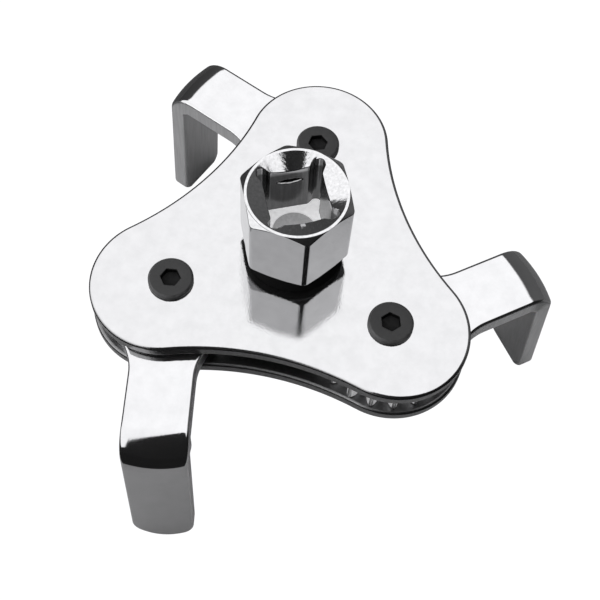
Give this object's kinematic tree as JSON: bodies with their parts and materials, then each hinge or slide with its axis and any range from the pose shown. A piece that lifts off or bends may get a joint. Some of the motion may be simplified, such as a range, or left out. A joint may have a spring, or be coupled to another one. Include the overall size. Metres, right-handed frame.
{
  "type": "oil filter wrench",
  "caption": "Two-way oil filter wrench: a square-drive hex spindle turns geared arms with bent jaws that pivot between two lobed chromed plates.",
  "frame": {"origin": "on the drive axis, at the centre of the drive socket's mouth in the plane of the hex head's rim", "axes": "+Z along the drive axis, out of the drive socket and away from the filter; +Y towards the lobe that carries jaw_arm_1"},
  "size_m": [0.1056, 0.1092, 0.0692],
  "materials": {
    "plate_chrome": "polished bright chrome plating",
    "spindle_chrome": "polished bright chrome plating",
    "arm_chrome": "polished bright chrome plating",
    "sleeve_steel": "turned plain steel, lightly oiled",
    "black_oxide": "satin black oxide"
  },
  "bodies": {
    "plates": {"top_plate": "plate_chrome", "bottom_plate": "plate_chrome", "pivot_sleeve_1": "sleeve_steel", "pivot_sleeve_2": "sleeve_steel", "pivot_sleeve_3": "sleeve_steel", "pivot_screw_1": "black_oxide", "pivot_screw_2": "black_oxide", "pivot_screw_3": "black_oxide"},
    "spindle": {"drive_spindle": "spindle_chrome"},
    "arm_1": {"jaw_arm_1": "arm_chrome"},
    "arm_2": {"jaw_arm_2": "arm_chrome"},
    "arm_3": {"jaw_arm_3": "arm_chrome"}
  },
  "joints": [
    {"name": "drive_spin", "type": "hinge", "parent": "plates", "child": "spindle", "pos_m": [0, 0, -0.0348], "axis": [0, 0, 1], "range_deg": [-46.6, 197.7]},
    {"name": "arm_1_swing", "type": "hinge", "parent": "plates", "child": "arm_1", "pos_m": [0, 0.0285, -0.0288], "axis": [0, 0, 1], "range_deg": [-178, 42]},
    {"name": "arm_2_swing", "type": "hinge", "parent": "plates", "child": "arm_2", "pos_m": [-0.02468, -0.01425, -0.0288], "axis": [0, 0, 1], "range_deg": [-178, 42]},
    {"name": "arm_3_swing", "type": "hinge", "parent": "plates", "child": "arm_3", "pos_m": [0.02468, -0.01425, -0.0288], "axis": [0, 0, 1], "range_deg": [-178, 42]}
  ],
  "couplings": [
    {"joint": "arm_1_swing", "follows": "drive_spin", "ratio": -0.9},
    {"joint": "arm_2_swing", "follows": "drive_spin", "ratio": -0.9},
    {"joint": "arm_3_swing", "follows": "drive_spin", "ratio": -0.9}
  ]
}
